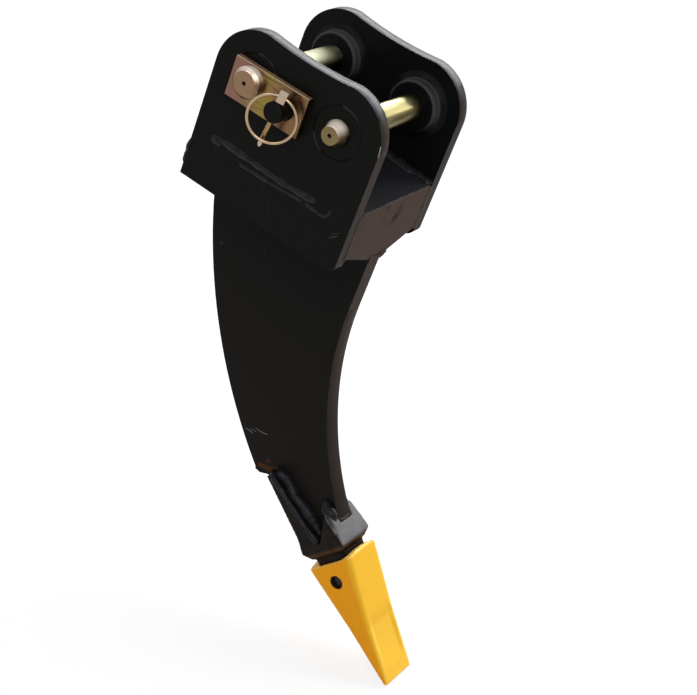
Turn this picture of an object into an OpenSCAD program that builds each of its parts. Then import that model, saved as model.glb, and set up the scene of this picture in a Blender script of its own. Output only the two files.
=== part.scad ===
// Ripper shank with a weld-on tooth, for the arm of a mini excavator.
// Two ear plates hold the arm pin and the link pin. A deck and two end plates close the box
// between them, the curved shank hangs from that box, and a cast adapter welded over the end
// of the shank carries the replaceable tooth.
// Millimetres. The origin is the middle of the arm pin's axis. X runs forward, the way the
// tooth points, Y runs to the left ear and Z is up.

/* [Ears] */
// Thickness of an ear plate
ear_t = 16; // [10:1:25]
// Clear width between the two ears
ear_gap = 148; // [120:1:190]
// Radius of the lobe round each pin, at the top corners
lobe_r = 53; // [44:1:60]
// Depth of the saddle between the lobes
saddle_dip = 3.5; // [1:0.5:8]
// Radius of the front bottom corner
toe_r = 10; // [3:1:20]

/* [Pins and bosses] */
// Diameter of the two pins
pin_d = 30; // [25:1:35]
// Distance between the pin axes
pin_pitch = 112; // [100:1:125]
// Height of the pin axes over the bottom edge of the ears
pin_h = 145; // [130:1:155]
// Diameter of a pin less than its bore
pin_clear = 0.3; // [0.1:0.05:0.8]
// Outside diameter of a boss
boss_d = 60; // [50:1:70]
// How far a boss stands in from its ear
boss_in = 16; // [6:1:22]
// Chamfer round the outer edge of a boss, where the ring weld lies
boss_groove = 2; // [1:0.5:4]
// Radius round the inner rim of a boss
boss_rim = 4; // [1:0.5:6]
// How far the free end of a pin stands out of its ear
pin_out = 15; // [14:1:25]
// Length of the tapered lead-in at the free end
lead_len = 13; // [5:1:14]
// Diameter at the small end of the lead-in
lead_d = 20; // [12:1:24]
// How far the locked end of a pin stands out of its flag
pin_head_out = 11; // [6:1:18]
// Diameter of the head at the locked end
pin_head_d = 35; // [32:1:40]
// Chamfer on the locked end
pin_chamfer = 4; // [1:0.5:5]
// Diameter of the centre drilling in the pin ends
drill_d = 5; // [3:0.5:8]

/* [Flags and linch pins] */
// Length of a flag plate
flag_len = 98; // [90:1:110]
// Height of a flag plate
flag_w = 47; // [42:1:54]
// Thickness of a flag plate
flag_t = 8; // [5:0.5:12]
// Distance from the end of the flag to its pin
flag_end = 25; // [20:1:32]
// Distance from the top edge of the flag down to its pin
flag_top = 19; // [17:1:24]
// Gap between a flag and its ear
flag_gap = 0.3; // [0.1:0.1:0.8]
// Diameter of the locking post
post_d = 23; // [18:1:26]
// Distance from the pin to the post along the flag
post_reach = 48; // [46:1:56]
// Distance of the post below the pin
post_drop = 6; // [2:1:9]
// How far the post stands out of the flag
post_out = 21; // [19:1:26]
// Clearance of the flag round the post, on the diameter
post_clear = 1; // [0.4:0.1:1.8]
// Distance of the linch pin out from the flag
linch_set = 14; // [11:0.5:15]
// Diameter of the linch pin
linch_d = 6; // [5:0.5:7]
// Length of the linch pin below its head
linch_len = 57; // [54:1:62]
// Lean of the linch pin in the post
linch_lean = 7; // [0:1:10]
// Turn of the linch pin about its own axis
linch_turn = 22; // [0:1:24]
// Mean diameter of the linch pin's ring
ring_d = 53; // [50:0.5:56]
// Diameter of the ring's wire
ring_wire = 3.5; // [3:0.1:4]
// Radial running clearance of the ring in the head
ring_clear = 0.08; // [0.05:0.01:0.1]

/* [Deck and end plates] */
// Height of the top of the deck over the bottom edge of the ears
deck_top = 71; // [60:1:80]
// Thickness of the deck
deck_t = 20; // [16:1:25]
// Thickness of the front and rear plates
plate_t = 12; // [8:1:16]
// Height of a plate's bottom edge beside the ears, over the bottom edge of the ears
plate_side = 14; // [4:1:24]
// Depth of a plate's bottom edge beside the shank, under the bottom edge of the ears
plate_mid = 6; // [0:1:20]
// Bevel down each side of a plate, for its seam with the ear
seam_bevel = 5; // [3:0.5:8]
// How far a seam weld stops short of the top of its plate
seam_short = 22; // [10:1:40]
// Width of the weld notch in the top of each plate
notch_w = 38; // [26:1:50]
// Depth of the weld notch
notch_h = 32; // [26:1:36]
// Length of the weld slot in each ear
slot_len = 152; // [100:1:170]
// Height of the weld slot
slot_h = 10; // [6:1:14]
// Depth that slot and notch welds stay under the surface
weld_sunk = 2.5; // [1:0.5:4]
// Leg of the fillet welds
weld_leg = 7; // [4:0.5:9]

/* [Shank] */
// Thickness of the shank plate
shank_t = 25; // [20:1:32]
// Straight length of the front edge under the ears
front_straight = 75; // [40:1:110]
// Straight length of the rear edge under the ears
rear_straight = 29; // [20:1:45]
// Radius of the curved rear edge
rear_r = 636; // [450:1:900]
// How far the heel stands out behind the adapter
heel_out = 29; // [20:1:36]
// How far the heel reaches up past the ends of the rear prongs
heel_up = 10; // [4:1:16]

/* [Adapter] */
// Distance forward from the arm pin to the middle of the tooth's mouth
tooth_reach = 161; // [140:1:180]
// Distance down from the arm pin to the middle of the tooth's mouth
tooth_drop = 523; // [490:1:560]
// Angle of the tooth below the horizontal
tooth_angle = 38; // [30:1:45]
// Width of the adapter
adapter_w = 60; // [52:1:66]
// Height of the adapter's front face over the tooth's axis, at its prongs
adapter_front = 29; // [26:1:34]
// Depth of the adapter's rear face under the tooth's axis
adapter_rear = 29; // [26:1:34]
// Flare of the rear prongs at their ends
prong_flare = 2.5; // [0:0.5:5]
// Swell of the adapter at its shoulder
shoulder_swell = 4; // [1:0.5:7]
// Bare neck between the shoulder and the tooth
neck_len = 10; // [6:1:16]
// Length of the front prongs behind the tooth's mouth
front_prong = 57; // [50:1:68]
// Length of the rear prongs behind the tooth's mouth
rear_prong = 126; // [115:1:140]
// Distance of the notch between the prongs behind the tooth's mouth
prong_notch = 25; // [22:1:32]
// Drop of that notch under the tooth's axis
notch_drop = 2; // [0:0.5:6]
// Place behind the tooth's mouth where the rear prongs start to flare
flare_from = 40; // [34:1:60]
// Width of the bevel on a front prong's outer edge, at its tip
prong_bevel_w = 8; // [4:0.5:10]
// Height of that bevel
prong_bevel_h = 10; // [5:0.5:12]
// Blunt end of a prong
prong_blunt = 4; // [2:0.5:8]
// Length of the shoulder's slope to the neck, in front
shoulder_front = 8; // [5:0.5:10]
// Length of the shoulder's slope to the neck, behind
shoulder_rear = 11; // [8:0.5:14]
// Length of the shoulder's slope to the neck, on its sides
shoulder_side = 9; // [6:0.5:12]
// Step from the neck to the nose, in front and behind
neck_step = 3; // [1:0.5:5]
// Distance of the slot's floor behind the notch, at the front
floor_lead = 17; // [12:0.5:20]
// Reach of the shank's pointed end past the notch
floor_point = 4; // [2:0.5:6]
// Gap between the adapter's cheeks and the shank
cheek_gap = 0.2; // [0:0.05:0.5]

/* [Tooth] */
// Length of the tooth from its mouth to its tip
tooth_len = 163; // [150:1:185]
// Height of the tooth at its mouth
mouth_h = 68; // [62:1:74]
// Width of the tooth at its mouth
mouth_w = 64; // [60:1:72]
// Width of the tooth at its tip
tip_w = 57; // [50:1:66]
// Thickness of the tooth at its tip
tip_t = 5; // [3:0.5:10]
// Distance of the slight crease across the tooth inside its mouth
crease_in = 84; // [70:1:100]
// Height of the tooth at the crease
crease_h = 30.5; // [28:0.5:34]
// Radius along the edges of the tooth
tooth_round = 8; // [4:0.5:10]
// Distance of the scoop's upper end from the tooth's mouth
scoop_from = 74; // [66:1:82]
// Distance of the scoop's lower end from the tooth's mouth
scoop_to = 146; // [130:1:155]
// Depth of the scoop
scoop_deep = 2.5; // [1:0.25:3]
// Width of the rims beside the scoop
scoop_rim = 8; // [5:0.5:12]
// How far the lips of the mouth bow back
lip_bow = 4; // [1:0.5:6]
// Height of the adapter's nose at the mouth of the tooth
nose_h = 42; // [36:1:44]
// Width of the nose at the mouth of the tooth
nose_w = 48; // [44:1:52]
// Length of the nose inside the tooth
nose_len = 92; // [80:1:100]
// Height of the nose at its end
nose_end_h = 14; // [10:1:16]
// Width of the nose at its end
nose_end_w = 38; // [30:1:42]
// Gap between the nose and the tooth
nose_gap = 0.8; // [0.4:0.1:1]
// Distance of the lock pin inside the mouth
lock_in = 23; // [20:1:30]
// Diameter of the lock pin
lock_d = 15; // [12:0.5:16]
// Length of the lock pin
lock_len = 50; // [46:1:56]
// Diameter of the lock pin less than its bore
lock_clear = 0.8; // [0.3:0.1:1.2]
// Outside diameter of the retainer ring
keeper_d = 26; // [22:0.5:27]
// Thickness of the retainer ring
keeper_t = 7; // [5:0.5:8]

/* [Hidden] */
$fn = 96;

// Small overlap that keeps a cut open at both faces
eps = 1;
// Thickness of the slabs that a loft runs between
slab = 0.1;

// Ears: edges of the plates and the faces that carry the rest
front_x = lobe_r;
rear_x = -pin_pitch - lobe_r;
ear_len = front_x - rear_x;
bottom_z = -pin_h;
top_z = lobe_r;
ear_y = ear_gap / 2;
side_y = ear_y + ear_t;
saddle_r = (pin_pitch * pin_pitch / 4 + saddle_dip * saddle_dip) / (2 * saddle_dip);
boss_bore = pin_d + pin_clear;
boss_fit = 0.1;

// Box: the deck lies between the end plates, and its edges show through the ear slots
deck_z = bottom_z + deck_top;
deck_under = deck_z - deck_t;
deck_x0 = rear_x + plate_t;
deck_x1 = front_x - plate_t;
slot_x = (deck_x0 + deck_x1) / 2 - 7;
slot_z = deck_under + slot_h / 2;
notch_r = min(notch_w, notch_h) / 2 - 2;

// Locks: places on the right ear, outward from its face
flag_y = side_y + flag_gap;
flag_face = flag_y + flag_t;
linch_y = flag_face + linch_set;
post_x = -pin_pitch + post_reach;
post_z = -post_drop;
post_hole = linch_d + 0.6;
head_w = 9;
head_t = 8;
head_h = 11;
head_z = post_d / 2 + 1;
hinge_z = head_z + head_h / 2 + 0.5;
ring_r = ring_d / 2;
ring_mouth = asin((head_w / 2 + 1) / ring_r);
snap_gap = 0.4;
ring_tilt = asin((linch_d / 2 + ring_wire / 2 + snap_gap) / ring_d);

// Tooth frame: s runs along the tooth from the middle of its mouth, h runs square to it
function at_tooth(s, h) = [
    tooth_reach + s * cos(tooth_angle) + h * sin(tooth_angle),
    -tooth_drop - s * sin(tooth_angle) + h * cos(tooth_angle)];

// Adapter outline in the tooth frame
shoulder_s = -neck_len;
notch_tip = [-prong_notch, -notch_drop];
front_tip = [-front_prong, adapter_front - prong_blunt];
rear_tip = [-rear_prong, -adapter_rear + prong_blunt];
floor_front = [-prong_notch - floor_lead, adapter_front];
floor_mid = notch_tip + [floor_point, 0];
floor_rear = [-prong_notch, -adapter_rear];
slot_w = shank_t + 2 * cheek_gap;

// Shank: the front edge leaves the ears straight and bends on to the adapter
heel = at_tooth(-rear_prong - heel_up, -adapter_rear - heel_out);
heel_top = at_tooth(-rear_prong + heel_up, -adapter_rear);
front_start = [front_x, bottom_z - front_straight];
front_end = at_tooth(floor_front[0], floor_front[1]);
front_run = front_end - front_start;
front_r = (front_run * front_run) / (2 * front_run[0]);
rear_start = [rear_x, bottom_z - rear_straight];
rear_run = heel - rear_start;
rear_half = norm(rear_run) / 2;
rear_mid = (heel + rear_start) / 2;
rear_in = [-rear_run[1], rear_run[0]] / norm(rear_run);
rear_centre = rear_mid + rear_in * sqrt(rear_r * rear_r - rear_half * rear_half);
plate_low = bottom_z - plate_mid;

// Tooth: the nose tapers evenly, so its size is known at any distance from the mouth
nose_taper_h = (nose_h - nose_end_h) / nose_len;
nose_taper_w = (nose_w - nose_end_w) / nose_len;
keeper_y = (nose_w - nose_taper_w * lock_in) / 2 - keeper_t - 0.5;
lock_groove = 0.8;
crease_w = mouth_w + (tip_w - mouth_w) * crease_in / tooth_len;
tip_round = tip_t / 2 - 0.5;
function top_at(s) = s < crease_in
    ? mouth_h / 2 + (crease_h - mouth_h) / 2 * (s + lip_bow) / (crease_in + lip_bow)
    : crease_h / 2 + (tip_t - crease_h) / 2 * (s - crease_in) / (tooth_len - crease_in);
crease_round = (tooth_round + tip_round) / 2;

// A profile drawn in X and Z, as thick as t and centred on Y
module upright(t) {
    rotate([90, 0, 0])
        linear_extrude(height = t, center = true)
            children();
}

// What is drawn about the tooth's mouth, with X along the tooth, goes to its place
module on_tooth() {
    translate([tooth_reach, 0, -tooth_drop])
        rotate([0, tooth_angle, 0])
            children();
}

// The arm pin's parts are the link pin's parts, turned half round for the left ear
module turned() {
    translate([-pin_pitch, 0, 0])
        rotate([0, 0, 180])
            children();
}

// A cylinder along Y
module along_y(d, y0, y1) {
    translate([0, y0, 0])
        rotate([-90, 0, 0])
            cylinder(d = d, h = y1 - y0);
}

// Thin slab across the tooth's axis, with round corners
module section(s, w, h, r) {
    translate([s, 0, 0])
        rotate([90, 0, 90])
            linear_extrude(height = slab)
                union() {
                    square([w - 2 * r, h], center = true);
                    square([w, h - 2 * r], center = true);
                    for (y = [-1, 1], z = [-1, 1])
                        translate([y * (w / 2 - r), z * (h / 2 - r)])
                            circle(r = r, $fn = 32);
                }
}

// Straight loft between two rounded sections
module loft(s0, w0, h0, s1, w1, h1, r0, r1) {
    hull() {
        section(s0, w0, h0, r0);
        section(s1, w1, h1, r1);
    }
}

module ear_outline() {
    difference() {
        union() {
            translate([rear_x, bottom_z])
                square([ear_len - toe_r, pin_h]);
            translate([rear_x, bottom_z + toe_r])
                square([ear_len, pin_h - toe_r]);
            translate([front_x - toe_r, bottom_z + toe_r])
                circle(r = toe_r);
            translate([-pin_pitch, -eps])
                square([pin_pitch, lobe_r + eps]);
            for (x = [-pin_pitch, 0])
                translate([x, 0])
                    circle(r = lobe_r);
        }
        translate([-pin_pitch / 2, top_z - saddle_dip + saddle_r])
            circle(r = saddle_r, $fn = 360);
        for (x = [-pin_pitch, 0])
            translate([x, 0])
                circle(d = boss_d + boss_fit);
        slot_outline();
    }
}

// Slot with round ends for the weld between ear and deck
module slot_outline() {
    run = slot_len - slot_h;
    translate([slot_x - run / 2, slot_z - slot_h / 2])
        square([run, slot_h]);
    for (x = [-run / 2, run / 2])
        translate([slot_x + x, slot_z])
            circle(d = slot_h);
}

module ear(side) {
    translate([0, side * (ear_y + ear_t / 2), 0])
        upright(ear_t)
            ear_outline();
}

module right_ear() {
    color("dimgray")
        ear(-1);
}

module left_ear() {
    color("dimgray")
        ear(1);
}

// Boss through the ear: flush outside, with a groove for its ring weld, and standing in
module boss(x, side) {
    translate([x, 0, 0])
        rotate([0, 0, side > 0 ? 0 : 180])
            translate([0, ear_y - boss_in, 0])
                rotate([-90, 0, 0])
                    rotate_extrude()
                        boss_section();
}

// Half section of a boss, from its round inner rim at the bottom to its weld groove
module boss_section() {
    long = boss_in + ear_t;
    wall = (boss_d - boss_bore) / 2;
    translate([boss_bore / 2, 0]) {
        square([wall - boss_rim, boss_rim]);
        translate([wall - boss_rim, boss_rim])
            intersection() {
                circle(r = boss_rim);
                translate([0, -boss_rim])
                    square(boss_rim);
            }
        translate([0, boss_rim])
            square([wall, long - boss_rim - boss_groove]);
        polygon([
            [0, long - boss_groove],
            [wall, long - boss_groove],
            [wall - boss_groove, long],
            [0, long]]);
    }
}

module right_link_boss() {
    color("slategray")
        boss(-pin_pitch, -1);
}

module right_arm_boss() {
    color("slategray")
        boss(0, -1);
}

module left_link_boss() {
    color("slategray")
        boss(-pin_pitch, 1);
}

module left_arm_boss() {
    color("slategray")
        boss(0, 1);
}

module deck_plate() {
    color("gray")
        translate([deck_x0, -ear_y, deck_under])
            cube([deck_x1 - deck_x0, ear_gap, deck_t]);
}

// Weld notch: open at the top of the plate, with round bottom corners
module notch_outline() {
    translate([-notch_w / 2, deck_z - notch_h + notch_r])
        square([notch_w, notch_h - notch_r]);
    for (y = [-1, 1])
        translate([y * (notch_w / 2 - notch_r), deck_z - notch_h + notch_r])
            circle(r = notch_r);
    translate([-notch_w / 2 + notch_r, deck_z - notch_h])
        square([notch_w - 2 * notch_r, notch_r]);
}

// End plate between the ears, with its outer face at X = 0, beveled down both sides for its
// seams and with a bottom edge that falls to the shank
module end_plate() {
    difference() {
        translate([-plate_t, 0, 0])
            rotate([90, 0, 90])
                linear_extrude(height = plate_t)
                    difference() {
                        polygon([
                            [-ear_y, deck_z],
                            [ear_y, deck_z],
                            [ear_y, bottom_z + plate_side],
                            [shank_t / 2, plate_low],
                            [-shank_t / 2, plate_low],
                            [-ear_y, bottom_z + plate_side]]);
                        notch_outline();
                    }
        seam_wedges(plate_low - eps, deck_z + eps, eps);
    }
}

// Three-sided bars in the two corners between a plate and the ears, from z0 up to z1
module seam_wedges(z0, z1, over) {
    for (side = [0, 1])
        mirror([0, side, 0])
            translate([0, ear_y, z0])
                linear_extrude(height = z1 - z0)
                    polygon([
                        [-seam_bevel - over, over],
                        [over, over],
                        [over, -seam_bevel - over]]);
}

// What is drawn for the front of the box goes on its rear as well, the other way round
module on_rear() {
    translate([rear_x, 0, 0])
        mirror([1, 0, 0])
            children();
}

module front_plate() {
    color("dimgray")
        translate([front_x, 0, 0])
            end_plate();
}

module rear_plate() {
    color("dimgray")
        on_rear()
            end_plate();
}

// Curved plate: its head stands between the end plates under the deck, its end is cut square
// to fill the adapter's slot, and the heel behind the rear prongs is left standing
module shank() {
    color("darkslategray")
        upright(shank_t)
            difference() {
                intersection() {
                    polygon([
                        [deck_x0, deck_under],
                        [deck_x1, deck_under],
                        [deck_x1, plate_low],
                        [front_x, plate_low],
                        front_start,
                        at_tooth(floor_front[0], 2 * adapter_front),
                        front_end,
                        at_tooth(floor_mid[0], floor_mid[1]),
                        at_tooth(floor_rear[0], floor_rear[1]),
                        heel_top,
                        heel + (heel - heel_top),
                        [rear_x, heel[1]],
                        [rear_x, plate_low],
                        [deck_x0, plate_low]]);
                    translate(rear_centre)
                        circle(r = rear_r, $fn = 360);
                }
                translate([front_x + front_r, front_start[1]])
                    circle(r = front_r, $fn = 360);
            }
}

module nose(gap) {
    s0 = shoulder_s - 2;
    loft(s0, nose_w - s0 * nose_taper_w + 2 * gap, nose_h - s0 * nose_taper_h + 2 * gap,
        nose_len + gap, nose_end_w + 2 * gap, nose_end_h + 2 * gap, 5 + gap, 4 + gap);
}

// Cast adapter: two fish-tailed cheeks over the shank, a swollen shoulder and the tooth's nose
module adapter() {
    swell = shoulder_swell;
    color("darkgray")
        on_tooth()
            difference() {
                union() {
                    upright(adapter_w)
                        polygon([
                            [shoulder_s, nose_h / 2 + neck_step],
                            [shoulder_s - shoulder_front, adapter_front + swell],
                            [-front_prong, adapter_front],
                            front_tip,
                            notch_tip,
                            rear_tip,
                            [-rear_prong, -adapter_rear - prong_flare],
                            [-flare_from, -adapter_rear],
                            [shoulder_s - shoulder_rear, -adapter_rear - swell],
                            [shoulder_s, -nose_h / 2 - neck_step]]);
                    nose(0);
                }
                upright(slot_w)
                    polygon([
                        floor_front + [0, swell + eps],
                        floor_front,
                        floor_mid,
                        floor_rear,
                        floor_rear - [0, swell + eps],
                        [-rear_prong - eps, -adapter_rear - swell - prong_flare - eps],
                        [-rear_prong - eps, adapter_front + swell + eps]]);
                for (y = [-1, 1])
                    shoulder_bevel(y);
                for (side = [0, 1])
                    mirror([0, side, 0])
                        prong_bevel();
                translate([lock_in, 0, 0])
                    along_y(lock_d + lock_clear, -mouth_w, mouth_w);
                translate([lock_in, 0, 0])
                    along_y(keeper_d + lock_clear, keeper_y, mouth_w);
            }
}

// Bevel that narrows the shoulder to the neck
module shoulder_bevel(y) {
    translate([0, 0, -mouth_h])
        linear_extrude(height = 2 * mouth_h)
            polygon([
                [shoulder_s - shoulder_side, y * (adapter_w / 2 + eps)],
                [shoulder_s - shoulder_side, y * adapter_w / 2],
                [shoulder_s, y * (nose_w / 2 + 2)],
                [eps, y * (nose_w / 2 + 2)],
                [eps, y * (adapter_w / 2 + eps)]]);
}

// Bevel on a front prong's outer edge, from nothing at the shoulder to its full size at the tip
module prong_bevel() {
    edge = adapter_w / 2;
    start = [shoulder_s - shoulder_front, -edge, adapter_front + shoulder_swell];
    low = [-front_prong, -edge, adapter_front - prong_bevel_h];
    high = [-front_prong, -edge + prong_bevel_w, adapter_front];
    out = cross(high - start, low - start);
    away = out / norm(out);
    translate(start)
        rotate([0, acos(away[2]), atan2(away[1], away[0])])
            translate([-tooth_len / 2, -tooth_len / 2, 0])
                cube([tooth_len, tooth_len, adapter_w]);
}

// Cast tooth: a wedge with a socket that follows the nose, bowed lips, a scooped top face and a
// lock pin bore
module tooth() {
    bow_r = (mouth_w * mouth_w / 4 + lip_bow * lip_bow) / (2 * lip_bow);
    color("gold")
        on_tooth()
            difference() {
                intersection() {
                    union() {
                        loft(-lip_bow, mouth_w, mouth_h, crease_in, crease_w, crease_h,
                            tooth_round, crease_round);
                        loft(crease_in, crease_w, crease_h, tooth_len - slab, tip_w, tip_t,
                            crease_round, tip_round);
                    }
                    translate([bow_r - lip_bow, 0, -mouth_h])
                        cylinder(r = bow_r, h = 2 * mouth_h, $fn = 180);
                }
                nose(nose_gap);
                scoop();
                translate([lock_in, 0, 0])
                    along_y(lock_d + lock_clear, -mouth_w, mouth_w);
            }
}

// Shallow round cut along the tooth's top face that leaves a rim on both sides
module scoop() {
    start = [scoop_from, top_at(scoop_from)];
    run = [scoop_to, top_at(scoop_to)] - start;
    half = norm(run) / 2;
    r = (half * half + scoop_deep * scoop_deep) / (2 * scoop_deep);
    centre = start + run / 2 + [-run[1], run[0]] / norm(run) * (r - scoop_deep);
    wide = crease_w / 2 - scoop_rim;
    translate([centre[0], 0, centre[1]])
        along_y(2 * r, -wide, wide);
}

// Lock pin with a groove for its retainer
module tooth_lock_pin() {
    color("silver")
        on_tooth()
            translate([lock_in, 0, 0])
                difference() {
                    along_y(lock_d, -lock_len / 2, lock_len / 2);
                    difference() {
                        along_y(lock_d + 2, keeper_y, keeper_y + keeper_t);
                        along_y(lock_d - 2 * lock_groove, keeper_y - eps, keeper_y + keeper_t + eps);
                    }
                }
}

// Retainer: a spring ring in the side of the nose, cut through so that it can open
module tooth_retainer() {
    side_gap = 0.3;
    color("dimgray")
        on_tooth()
            translate([lock_in, 0, 0])
                difference() {
                    along_y(keeper_d, keeper_y + side_gap, keeper_y + keeper_t - side_gap);
                    along_y(lock_d - 2 * lock_groove + 0.4, keeper_y - eps, keeper_y + keeper_t + eps);
                    translate([0, keeper_y - eps, -2])
                        cube([keeper_d, keeper_t + 2 * eps, 4]);
                }
}

// Centre drilling, point inward, from the end face at the origin along +Z
module centre_drill() {
    translate([0, 0, -eps])
        cylinder(d = drill_d / 2, h = drill_d + eps);
    translate([0, 0, -0.01])
        cylinder(d1 = drill_d, d2 = drill_d / 2, h = drill_d / 2);
}

// Link pin: a chamfered head on its flag, with a long tapered lead-in at the free end on the left
module link_pin() {
    y0 = -flag_face - pin_head_out;
    y1 = side_y + pin_out;
    color("khaki")
        translate([-pin_pitch, y0, 0])
            rotate([-90, 0, 0])
                difference() {
                    union() {
                        cylinder(d1 = pin_head_d - 2 * pin_chamfer, d2 = pin_head_d, h = pin_chamfer);
                        translate([0, 0, pin_chamfer])
                            cylinder(d = pin_head_d, h = pin_head_out - pin_chamfer);
                        translate([0, 0, pin_chamfer])
                            cylinder(d = pin_d, h = y1 - y0 - pin_chamfer - lead_len);
                        translate([0, 0, y1 - y0 - lead_len])
                            cylinder(d1 = pin_d, d2 = lead_d, h = lead_len);
                    }
                    centre_drill();
                    translate([0, 0, y1 - y0])
                        mirror([0, 0, 1])
                            centre_drill();
                }
}

// Flag plate welded round the pin, with a hole that drops over the post
module link_pin_flag() {
    color("tan")
        translate([0, -flag_y - flag_t / 2, 0])
            upright(flag_t)
                difference() {
                    translate([-pin_pitch - flag_end, flag_top - flag_w])
                        square([flag_len, flag_w]);
                    translate([-pin_pitch, 0])
                        circle(d = pin_d + 2 * boss_fit);
                    translate([post_x, post_z])
                        circle(d = post_d + post_clear);
                }
}

// Post welded to the ear, cross-drilled for the linch pin
module link_lock_post() {
    out = flag_face + post_out - side_y;
    bevel = 1.5;
    color("dimgray")
        difference() {
            translate([post_x, -side_y, post_z])
                rotate([90, 0, 0])
                    union() {
                        cylinder(d = post_d, h = out - bevel);
                        translate([0, 0, out - bevel])
                            cylinder(d1 = post_d, d2 = post_d - 2 * bevel, h = bevel);
                    }
            on_linch()
                translate([0, 0, -post_d])
                    cylinder(d = post_hole, h = 2 * post_d);
        }
}

// Linch pin's frame: Z along its shaft, X along the hinge of its ring
module on_linch() {
    translate([post_x, -linch_y, post_z])
        rotate([0, linch_lean, 0])
            rotate([0, 0, linch_turn])
                children();
}

module link_linch_pin() {
    tip = 3;
    color("goldenrod")
        on_linch()
            difference() {
                union() {
                    translate([0, 0, head_z - linch_len + tip])
                        cylinder(d = linch_d, h = linch_len - tip + eps);
                    translate([0, 0, head_z - linch_len])
                        cylinder(d1 = linch_d - 3, d2 = linch_d, h = tip);
                    translate([-head_w / 2, -head_t / 2, head_z])
                        cube([head_w, head_t, head_h]);
                }
                translate([-head_w, 0, hinge_z])
                    rotate([0, 90, 0])
                        cylinder(d = ring_wire + 2 * ring_clear, h = 2 * head_w);
            }
}

// Spring ring: its two ends sit in the head, and shut it lies just in front of the shaft
module link_linch_ring() {
    end_gap = 0.6;
    color("goldenrod")
        on_linch()
            translate([0, 0, hinge_z])
                rotate([-ring_tilt, 0, 0])
                    union() {
                        translate([0, 0, -ring_r])
                            rotate([90, 0, 0])
                                rotate([0, 0, 90 + ring_mouth])
                                    rotate_extrude(angle = 360 - 2 * ring_mouth)
                                        translate([ring_r, 0])
                                            circle(d = ring_wire, $fn = 24);
                        for (side = [0, 180])
                            rotate([0, 0, side])
                                translate([end_gap, 0, 0])
                                    rotate([0, 90, 0])
                                        cylinder(d = ring_wire, h = head_w / 2 + 1.6 - end_gap);
                    }
}

module arm_pin() {
    turned()
        link_pin();
}

module arm_pin_flag() {
    turned()
        link_pin_flag();
}

module arm_lock_post() {
    turned()
        link_lock_post();
}

module arm_linch_pin() {
    turned()
        link_linch_pin();
}

module arm_linch_ring() {
    turned()
        link_linch_ring();
}

// Fillet welds round the bosses, inside the ears
module boss_welds() {
    color("black")
        for (x = [-pin_pitch, 0], side = [0, 180])
            translate([x, 0, 0])
                rotate([0, 0, side])
                    translate([0, ear_y, 0])
                        rotate([90, 0, 0])
                            rotate_extrude()
                                translate([boss_d / 2, 0])
                                    quarter_bead();
}

// Section of a fillet weld: a quarter disc with its legs on the axes
module quarter_bead() {
    intersection() {
        circle(r = weld_leg);
        square(weld_leg);
    }
}

// Weld metal in the ear slots, on the edges of the deck
module slot_welds() {
    deep = ear_t - weld_sunk;
    color("black")
        for (side = [-1, 1])
            translate([0, side * (ear_y + deep / 2), 0])
                upright(deep)
                    slot_outline();
}

// Fillet welds in the corners between the deck and the ears
module deck_welds() {
    color("black")
        for (side = [0, 180])
            translate([(rear_x + front_x) / 2, 0, deck_z])
                rotate([0, 0, side])
                    translate([-ear_len / 2, ear_y, 0])
                        rotate([90, 0, 90])
                            linear_extrude(height = ear_len)
                                mirror([1, 0])
                                    quarter_bead();
}

// Seam welds that fill the bevels of the end plates, short of their tops
module seam_welds() {
    z0 = bottom_z + plate_side;
    z1 = deck_z - seam_short;
    color("black") {
        translate([front_x, 0, 0])
            seam_wedges(z0, z1, 0);
        on_rear()
            seam_wedges(z0, z1, 0);
    }
}

// Weld metal in the notches of the end plates, on the deck and the shank
module notch_welds() {
    deep = plate_t - weld_sunk;
    color("black")
        for (x = [rear_x + weld_sunk, deck_x1])
            translate([x, 0, 0])
                rotate([90, 0, 90])
                    linear_extrude(height = deep)
                        notch_outline();
}

// Fillet welds along the fish tail, on both faces of the shank
module adapter_welds() {
    color("black")
        on_tooth()
            for (side = [0, 1])
                mirror([0, side, 0])
                    translate([0, -shank_t / 2, 0])
                        intersection() {
                            union() {
                                seam(front_tip);
                                seam(rear_tip);
                            }
                            rotate([90, 0, 0])
                                linear_extrude(height = 2 * weld_leg)
                                    polygon([notch_tip, front_tip, rear_tip]);
                        }
}

// Round bar along one edge of the fish tail, from its notch to a prong's tip
module seam(tip) {
    run = tip - notch_tip;
    translate([notch_tip[0], 0, notch_tip[1]])
        rotate([0, 90 - atan2(run[1], run[0]), 0])
            translate([0, 0, -weld_leg])
                cylinder(r = weld_leg, h = norm(run) + weld_leg);
}

right_ear();
left_ear();
right_link_boss();
right_arm_boss();
left_link_boss();
left_arm_boss();
deck_plate();
front_plate();
rear_plate();
shank();
adapter();
tooth();
tooth_lock_pin();
tooth_retainer();
link_pin();
link_pin_flag();
link_lock_post();
link_linch_pin();
link_linch_ring();
arm_pin();
arm_pin_flag();
arm_lock_post();
arm_linch_pin();
arm_linch_ring();
boss_welds();
slot_welds();
deck_welds();
seam_welds();
notch_welds();
adapter_welds();
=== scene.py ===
import math

import bmesh
import bpy
from mathutils import Matrix, Vector, noise


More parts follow.
